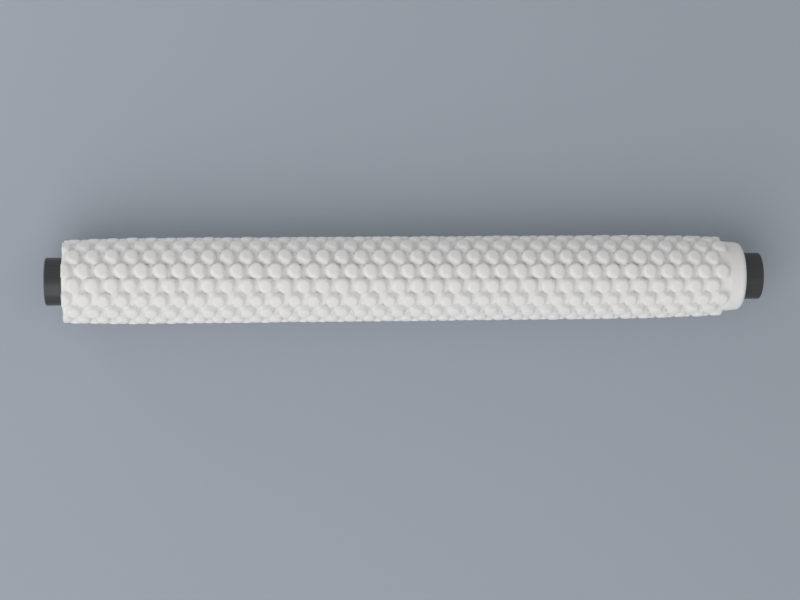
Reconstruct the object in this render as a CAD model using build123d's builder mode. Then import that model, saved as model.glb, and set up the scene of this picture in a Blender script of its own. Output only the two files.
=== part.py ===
"""A sponge roller: a soft sleeve with rows of nodules, pushed over a stiff plastic core tube.

The roller lies along X with the origin on the axis of its bore, half way along. Z is up.
It rests on the small flat spot that its own weight presses into the nodules underneath.
"""

import os
from math import floor, radians, tan

from build123d import *

# Core tube, in millimetres
core_length = 380
core_bore_diameter = 20
core_wall = 2.5
core_edge_chamfer = 0.5

# Sponge sleeve, cut square at its -X end and moulded smooth and round at its +X end
sleeve_length = 360
sleeve_shift = -0.5
sleeve_diameter = 45
smooth_band_length = 10
smooth_band_root_diameter = 37.6
smooth_band_tip_diameter = 36.4
smooth_band_edge_radius = 3
flat_spot_depth = 0.5

# Nodules, in rows along the sleeve, each row half a pitch along from the next one
row_count = 16
nodule_pitch = 9.857
nodule_height = 4.2
nodule_top_length = 6
nodule_top_width = 6.2
nodule_draft = 5
nodule_root_depth = 0.6
first_nodule_inset = 14

# The sponge thins towards both ends
smooth_end_taper_length = 70
smooth_end_taper_depth = 1.9
cut_end_taper_length = 40
cut_end_taper_depth = 1

core_radius = core_bore_diameter / 2 + core_wall
sleeve_radius = sleeve_diameter / 2
valley_radius = sleeve_radius - nodule_height
rest_height = sleeve_radius - flat_spot_depth
cut_end = sleeve_shift - sleeve_length / 2
smooth_end = sleeve_shift + sleeve_length / 2
row_angle = 360 / row_count
nodule_depth = nodule_height + nodule_root_depth
nodule_spread = nodule_depth * tan(radians(nodule_draft))


def nodule_centres(row):
    """Places along X of one row's nodules, from the smooth end to the cut end."""
    first = smooth_end - first_nodule_inset - row % 2 * nodule_pitch / 2
    return [first - nodule_pitch * step for step in range(1 + floor((first - cut_end) / nodule_pitch))]


def thinning(place):
    """How far the sleeve's radius is down at a place along X, growing as a square to each end."""
    to_smooth = max(0, 1 - (smooth_end - place) / smooth_end_taper_length)
    to_cut = max(0, 1 - (place - cut_end) / cut_end_taper_length)
    return smooth_end_taper_depth * to_smooth**2 + cut_end_taper_depth * to_cut**2


os.makedirs("parts", exist_ok=True)

# Core tube
with BuildPart() as core_tube:
    with BuildSketch(Plane.YZ.offset(-core_length / 2)):
        Circle(core_radius)
        Circle(core_bore_diameter / 2, mode=Mode.SUBTRACT)
    extrude(amount=core_length)
    outer_edges = core_tube.faces().filter_by(Axis.X).edges().group_by(SortBy.RADIUS)[-1]
    chamfer(outer_edges, core_edge_chamfer)

# One nodule, with the middle of its top at the origin, running on into the sleeve below
with BuildPart() as nodule:
    with BuildSketch(Plane.XY.offset(-nodule_depth)):
        Rectangle(nodule_top_length + 2 * nodule_spread, nodule_top_width + 2 * nodule_spread)
    extrude(amount=nodule_depth, taper=nodule_draft)

nodule_places = [
    Location((place, 0, 0), (-row_angle * (row + 0.5), 0, 0)) * Pos(Z=sleeve_radius - thinning(place))
    for row in range(row_count)
    for place in nodule_centres(row)
]

# Sponge sleeve: a flat for each row of nodules, then the round smooth band
with BuildPart() as sponge_sleeve:
    with BuildSketch(Plane.YZ.offset(cut_end)):
        RegularPolygon(valley_radius, row_count, major_radius=False, rotation=90)
        Circle(core_radius, mode=Mode.SUBTRACT)
    extrude(amount=sleeve_length - smooth_band_length)
    with BuildSketch(Plane.XY):
        with BuildLine():
            band_start = smooth_end - smooth_band_length
            tip_radius = smooth_band_tip_diameter / 2
            root = (band_start, smooth_band_root_diameter / 2)
            shoulder = (smooth_end - smooth_band_edge_radius, tip_radius)
            nose = (smooth_end, tip_radius - smooth_band_edge_radius)
            Line(root, shoulder)
            RadiusArc(shoulder, nose, smooth_band_edge_radius)
            Polyline(nose, (smooth_end, core_radius), (band_start, core_radius), root)
        make_face()
    revolve(axis=Axis.X)
    with Locations(*nodule_places):
        add(nodule.part)
    with Locations((cut_end, 0, -rest_height)):
        Box(
            sleeve_length,
            2 * sleeve_diameter,
            2 * sleeve_diameter,
            align=(Align.MIN, Align.CENTER, Align.MIN),
            mode=Mode.INTERSECT,
        )

for piece, name in ((core_tube, "core_tube"), (sponge_sleeve, "sponge_sleeve")):
    piece.part.label = name
    export_step(piece.part, f"parts/{name}.step")
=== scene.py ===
import bmesh
import bpy
import numpy as np
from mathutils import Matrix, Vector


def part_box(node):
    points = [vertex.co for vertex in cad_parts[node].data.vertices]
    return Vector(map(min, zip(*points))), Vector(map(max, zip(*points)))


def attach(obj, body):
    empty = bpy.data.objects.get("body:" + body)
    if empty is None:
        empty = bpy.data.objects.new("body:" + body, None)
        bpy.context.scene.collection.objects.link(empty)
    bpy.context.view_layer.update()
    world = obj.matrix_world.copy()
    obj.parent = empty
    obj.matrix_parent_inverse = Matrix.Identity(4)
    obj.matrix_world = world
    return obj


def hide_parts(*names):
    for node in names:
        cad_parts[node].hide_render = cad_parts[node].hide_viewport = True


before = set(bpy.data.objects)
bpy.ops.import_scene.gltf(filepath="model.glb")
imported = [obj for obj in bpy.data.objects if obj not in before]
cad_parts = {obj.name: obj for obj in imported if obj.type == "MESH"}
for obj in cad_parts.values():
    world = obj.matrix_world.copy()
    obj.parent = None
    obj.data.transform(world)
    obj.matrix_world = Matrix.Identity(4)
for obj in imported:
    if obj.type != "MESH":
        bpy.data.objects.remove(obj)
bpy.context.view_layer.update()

MM = 0.001

# The core is a length of stiff grey plastic pipe, sawn square, with its sharp
# outer edges broken. It carries the sleeve and turns on whatever fills its bore.
core_low, core_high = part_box("core_tube")
core_radius = core_high.z


def material_with_shader(name):
    """A new material, its node tree and its principled shader."""
    material = bpy.data.materials.new(name)
    material.use_nodes = True
    tree = material.node_tree
    return material, tree, tree.nodes["Principled BSDF"]


def object_pattern(tree, kind, stretch, **settings):
    """A procedural texture on Object coordinates, stretched by a factor along each axis."""
    coordinates = tree.nodes.new("ShaderNodeTexCoord")
    mapping = tree.nodes.new("ShaderNodeMapping")
    mapping.inputs["Scale"].default_value = stretch
    texture = tree.nodes.new(kind)
    for socket, value in settings.items():
        texture.inputs[socket.replace("_", " ")].default_value = value
    tree.links.new(coordinates.outputs["Object"], mapping.inputs["Vector"])
    tree.links.new(mapping.outputs["Vector"], texture.inputs["Vector"])
    return texture


def remap(tree, value, low, high, to_low, to_high):
    """The value's stretch from low to high, carried over to to_low to to_high."""
    node = tree.nodes.new("ShaderNodeMapRange")
    for socket, number in zip(("From Min", "From Max", "To Min", "To Max"), (low, high, to_low, to_high)):
        node.inputs[socket].default_value = number
    tree.links.new(value, node.inputs["Value"])
    return node.outputs["Result"]


def two_colours(tree, factor, first, second):
    """A colour that runs from the first to the second as the factor runs from 0 to 1."""
    node = tree.nodes.new("ShaderNodeMix")
    node.data_type = "RGBA"
    node.inputs["A"].default_value = (*first, 1)
    node.inputs["B"].default_value = (*second, 1)
    tree.links.new(factor, node.inputs["Factor"])
    return node.outputs["Result"]


def bump(tree, shader, height, depth, below=None):
    """Gives the shader a bump of that depth in metres, over another bump if one is given."""
    node = tree.nodes.new("ShaderNodeBump")
    node.inputs["Distance"].default_value = depth
    tree.links.new(height, node.inputs["Height"])
    if below is not None:
        tree.links.new(below, node.inputs["Normal"])
    tree.links.new(node.outputs["Normal"], shader.inputs["Normal"])
    return node.outputs["Normal"]


def pipe_plastic():
    """Dark grey pipe: faint lines along its length, a handled skin, and a painted highlight that makes the broken
    edges and sawn ends paler.

    The distance from the middle, |x|, tells the sawn face and the broken edge from the skin; there the colour is
    painted paler as a highlight.
    """
    material, tree, shader = material_with_shader("pipe_plastic")
    lines = object_pattern(tree, "ShaderNodeTexNoise", (6, 900, 900), Scale=1.0, Detail=3.0)
    skin = object_pattern(tree, "ShaderNodeTexNoise", (90, 90, 90), Scale=1.0, Detail=4.0)
    tint = remap(tree, lines.outputs["Fac"], 0.3, 0.7, 0, 1)
    skin_colour = two_colours(tree, tint, (0.030, 0.033, 0.034), (0.042, 0.045, 0.046))
    coordinates = tree.nodes.new("ShaderNodeTexCoord")
    place = tree.nodes.new("ShaderNodeSeparateXYZ")
    distance = tree.nodes.new("ShaderNodeMath")
    distance.operation = "ABSOLUTE"
    tree.links.new(coordinates.outputs["Object"], place.inputs["Vector"])
    tree.links.new(place.outputs["X"], distance.inputs[0])
    # Painted highlight: the broken edge and the end face get a paler colour in place of the light they would
    # catch.
    painted_rim_highlight = remap(tree, distance.outputs["Value"], core_high.x - 0.6 * MM, core_high.x - 0.3 * MM, 0, 1)
    colour = tree.nodes.new("ShaderNodeMix")
    colour.data_type = "RGBA"
    colour.inputs["B"].default_value = (0.11, 0.115, 0.118, 1)
    tree.links.new(painted_rim_highlight, colour.inputs["Factor"])
    tree.links.new(skin_colour, colour.inputs["A"])
    tree.links.new(colour.outputs["Result"], shader.inputs["Base Color"])
    tree.links.new(remap(tree, skin.outputs["Fac"], 0.3, 0.7, 0.28, 0.4), shader.inputs["Roughness"])
    bump(tree, shader, lines.outputs["Fac"], 0.03 * MM)
    return material


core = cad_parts["core_tube"]
core.data.materials.clear()
core.data.materials.append(pipe_plastic())

# The sleeve is one moulding of soft white sponge, pulled over the pipe. Round flat-topped
# nodules cover it in rows, each row half a pitch along from the next. It was cut
# from a longer moulding at one end, and its other end is a smooth rounded band.
sleeve_low, sleeve_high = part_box("sponge_sleeve")
cut_end = sleeve_low.x
smooth_end = sleeve_high.x
rest_level = sleeve_low.z
sleeve_radius = 22.5 * MM
valley_radius = 18.3 * MM
row_count = 16
row_angle = 2 * np.pi / row_count
pitch = 9.857 * MM
first_nodule = smooth_end - 14 * MM
band_start = first_nodule + pitch / 2
band_edge = 3 * MM
band_tip_radius = 18.2 * MM
past_cut = first_nodule - 35.5 * pitch


def thinning(x):
    """How far the outside is down near each end, growing as a square over a set length."""
    to_smooth = np.clip(1 - (smooth_end - x) / (70 * MM), 0, 1)
    to_cut = np.clip(1 - (x - cut_end) / (40 * MM), 0, 1)
    return 1.9 * MM * to_smooth**2 + 1.0 * MM * to_cut**2


def on_the_roller(x, radius, turn):
    """Points from places along, radii and angles round the roller.

    The sleeve went on with a slight twist, which grows evenly along it. Skin past the cut
    is folded on to the cut face, its last quarter pitch running down the face as far as
    the pipe. Whatever would be below the floor is pressed up to it.
    """
    fold = past_cut + pitch / 4
    radius = radius - (valley_radius - core_radius) * np.clip((fold - x) / (fold - past_cut), 0, 1)
    turn = turn + np.radians(0.55) - np.radians(25) * x
    y, z = radius * np.sin(turn), radius * np.cos(turn)
    return np.stack([np.maximum(x, cut_end), y, np.maximum(z, rest_level)], -1)


def grid_faces(index):
    """Four-cornered faces between neighbouring points of grids, in the last two directions."""
    corners = [index[..., :-1, :-1], index[..., 1:, :-1], index[..., 1:, 1:], index[..., :-1, 1:]]
    return np.stack(corners, -1).reshape(-1, 4).tolist()


def valley(step, quarter):
    """Places, radii and angles at quarter pitches from the first nodule and quarter rows.

    Where two rows meet, the feet of the nodules run into each other. There the skin stands
    at nearly a third of their height in line with a nodule, and hardly at all beside it.
    """
    x = first_nodule - pitch / 4 * step
    meeting = (quarter % 4 == 0) & (step > -2) & (step < 142)
    share = np.where(step % 2 == 0, 0.3, 0.06) * meeting
    radius = valley_radius + (sleeve_radius - thinning(x) - valley_radius) * share
    return x, radius, row_angle / 4 * quarter


def nodule_cells():
    """Points and faces of every nodule and the valley round it.

    A cell is a pitch long and a row wide. Its first three rings are ovals at a share of the
    nodule's height: the flat top, its soft rim and the shoulder. The foot is part of the
    way from there to the cell's edge, which neighbouring cells share. Odd rows have one
    nodule less and start half a pitch further in.
    """
    rows, steps = np.meshgrid(np.arange(row_count), np.arange(36), indexing="ij")
    real = (rows % 2 == 0) | (steps < 35)
    middle_step = (4 * steps + 2 * (rows % 2))[real][:, None, None]
    middle_quarter = (4 * rows + 2)[real][:, None, None]
    side = np.array([2, 2, 2, 1, 0, -1, -2, -2, -2, -2, -2, -1, 0, 1, 2, 2])
    edge_x, edge_radius, edge_turn = valley(middle_step - side, middle_quarter + np.roll(side, 4))

    spoke = 2 * np.pi * np.arange(16) / 16
    half_along = np.array([2.15, 2.85, 3.42])[:, None] * MM
    half_round = np.array([2.40, 3.15, 3.80])[:, None] * MM
    share = np.array([1.0, 0.965, 0.80])[:, None]
    wander = np.random.default_rng(5).normal(0, 1, (4, len(edge_x), 1, 1))
    size = 1 + 0.02 * wander[0]
    middle_x = first_nodule - pitch / 4 * middle_step
    top = sleeve_radius - thinning(middle_x) + 0.08 * MM * wander[1]
    across = half_round * np.sin(spoke) * size
    height = valley_radius + (top - valley_radius) * share
    x = middle_x + 0.10 * MM * wander[2] + half_along * np.cos(spoke) * size
    turn = row_angle / 4 * middle_quarter + np.radians(0.25) * wander[3] + np.arctan2(across, height)
    radius = np.hypot(height, across * share)

    way = np.array([0.55, 0.45, 0.36, 0.60, 0.50, 0.60, 0.36, 0.45] * 2)
    foot_share = np.array([0.12, 0.12, 0.12, 0.40, 0.55, 0.40, 0.12, 0.12] * 2)
    foot_x = x[:, 2:] + (edge_x - x[:, 2:]) * way
    foot_turn = turn[:, 2:] + (edge_turn - turn[:, 2:]) * way
    foot_radius = valley_radius + (top - valley_radius) * foot_share
    points = on_the_roller(
        np.concatenate([x, foot_x, edge_x], 1),
        np.concatenate([radius, foot_radius, edge_radius], 1),
        np.concatenate([turn, foot_turn, edge_turn], 1),
    )
    index = np.arange(points[..., 0].size).reshape(points.shape[:3])
    round_again = np.concatenate([index, index[:, :, :1]], 2)
    return points.reshape(-1, 3), index[:, 0].tolist() + grid_faces(round_again)


def half_cells(first_point):
    """Points and faces of the bare half cells that fill odd rows at both ends."""
    starts = np.array([-2, 140])[:, None, None, None]
    quarters = (4 * np.arange(1, row_count, 2))[:, None, None] + np.arange(5)
    points = on_the_roller(*np.broadcast_arrays(*valley(starts + np.arange(3)[:, None], quarters)))
    index = np.arange(points[..., 0].size).reshape(points.shape[:-1]) + first_point
    return points.reshape(-1, 3), grid_faces(index)


def band_and_bore(first_point):
    """Points and faces of the smooth band, the end face and the bore: one profile, turned.

    The profile steps up from the valley, bends over the band's rounded edge and comes back
    along the pipe. Its last point is the folded skin's last one.
    """
    bend = np.radians(np.linspace(0, 90, 7))
    nose_x = smooth_end - band_edge + band_edge * np.sin(bend)
    nose_radius = band_tip_radius - band_edge + band_edge * np.cos(bend)
    x = np.concatenate([[band_start, band_start], nose_x, np.linspace(smooth_end, past_cut, 9)])
    radius = np.concatenate(
        [[valley_radius, 18.75 * MM], nose_radius, np.full(8, core_radius), [valley_radius]]
    )
    turn = row_angle / 4 * np.arange(4 * row_count)
    points = on_the_roller(*np.broadcast_arrays(x[:, None], radius[:, None], turn))
    index = np.arange(points[..., 0].size).reshape(points.shape[:2]) + first_point
    return points.reshape(-1, 3), grid_faces(np.concatenate([index, index[:, :1]], 1))


def sponge_mesh():
    """The nodules, the half cells, the band and the bore in one closed mesh."""
    points, faces = nodule_cells()
    for part in (half_cells, band_and_bore):
        more_points, more_faces = part(len(points))
        points = np.concatenate([points, more_points])
        faces = faces + more_faces
    mesh = bpy.data.meshes.new("sponge_sleeve_soft")
    mesh.from_pydata(points.tolist(), [], faces)
    skin = bmesh.new()
    skin.from_mesh(mesh)
    bmesh.ops.remove_doubles(skin, verts=skin.verts, dist=0.01 * MM)
    bmesh.ops.recalc_face_normals(skin, faces=skin.faces)
    skin.to_mesh(mesh)
    skin.free()
    mesh.shade_smooth()
    mesh.set_sharp_from_angle(angle=np.radians(75))
    return mesh


def fine_sponge():
    """Matt white sponge: fine pores and a soft glow under the skin."""
    material, tree, shader = material_with_shader("fine_sponge")
    patches = object_pattern(tree, "ShaderNodeTexNoise", (160, 160, 160), Scale=1.0, Detail=3.0)
    grain = object_pattern(tree, "ShaderNodeTexNoise", (2600, 2600, 2600), Scale=1.0, Detail=2.0)
    pores = object_pattern(tree, "ShaderNodeTexVoronoi", (2400, 2400, 2400), Scale=1.0)
    tint = remap(tree, patches.outputs["Fac"], 0.3, 0.7, 0, 1)
    tree.links.new(two_colours(tree, tint, (0.88, 0.872, 0.86), (0.90, 0.893, 0.882)), shader.inputs["Base Color"])
    shader.inputs["Roughness"].default_value = 0.95
    shader.inputs["Specular IOR Level"].default_value = 0.25
    shader.inputs["Subsurface Weight"].default_value = 0.3
    shader.inputs["Subsurface Radius"].default_value = (1.0, 0.95, 0.9)
    shader.inputs["Subsurface Scale"].default_value = 1.2 * MM
    holes = remap(tree, pores.outputs["Distance"], 0.05, 0.35, 0, 1)
    first = bump(tree, shader, grain.outputs["Fac"], 0.06 * MM)
    bump(tree, shader, holes, 0.04 * MM, first)
    return material


sleeve = bpy.data.objects.new("sponge_sleeve_soft", sponge_mesh())
bpy.context.collection.objects.link(sleeve)
sleeve.data.materials.append(fine_sponge())
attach(sleeve, "root")
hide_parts("sponge_sleeve")

# The roller lies on a plain pale floor that runs on past the picture's edges.
floor_mesh = bpy.data.meshes.new("floor")
reach = 3.0
floor_mesh.from_pydata(
    [(-reach, -reach, rest_level), (reach, -reach, rest_level), (reach, reach, rest_level), (-reach, reach, rest_level)],
    [], [(0, 1, 2, 3)],
)
floor = bpy.data.objects.new("floor", floor_mesh)
bpy.context.collection.objects.link(floor)
floor_material, floor_tree, floor_shader = material_with_shader("floor_paper")
floor_shader.inputs["Base Color"].default_value = (0.40, 0.44, 0.50, 1)
floor_shader.inputs["Roughness"].default_value = 0.9
floor_mesh.materials.append(floor_material)


# The light is soft: a wide lamp from the camera's lower left, a weak one opposite,
# and an even sky that fills the valleys.
def soft_lamp(name, place, width, power):
    """A square lamp that faces the roller's middle."""
    data = bpy.data.lights.new(name, "AREA")
    data.size = width
    data.energy = power
    lamp = bpy.data.objects.new(name, data)
    lamp.location = place
    direction = -lamp.location
    lamp.rotation_euler = direction.to_track_quat("-Z", "Y").to_euler()
    bpy.context.collection.objects.link(lamp)


soft_lamp("window", (-0.7, -1.0, 1.2), 2.0, 16)
soft_lamp("side_lamp", (-0.5, 0.45, 0.15), 0.3, 0.6)
world = bpy.data.worlds.new("sky")
world.use_nodes = True
world.node_tree.nodes["Background"].inputs["Color"].default_value = (1.0, 1.0, 1.0, 1)
world.node_tree.nodes["Background"].inputs["Strength"].default_value = 0.46
bpy.context.scene.world = world

# The camera looks down on the roller from a metre above, nearer to its cut end.
camera_data = bpy.data.cameras.new("camera")
camera_data.sensor_width = 36
camera_data.lens = 36 * 1987 / 800
camera_data.shift_x = (400 - 473.3) / 800
camera = bpy.data.objects.new("camera", camera_data)
camera.location = (-89.7 * MM, 0, 1053.3 * MM)
camera.rotation_mode = "ZXY"
camera.rotation_euler = (-0.011, -0.117, -0.0084)
bpy.context.collection.objects.link(camera)
bpy.context.scene.camera = camera
bpy.context.scene.view_settings.view_transform = "Standard"
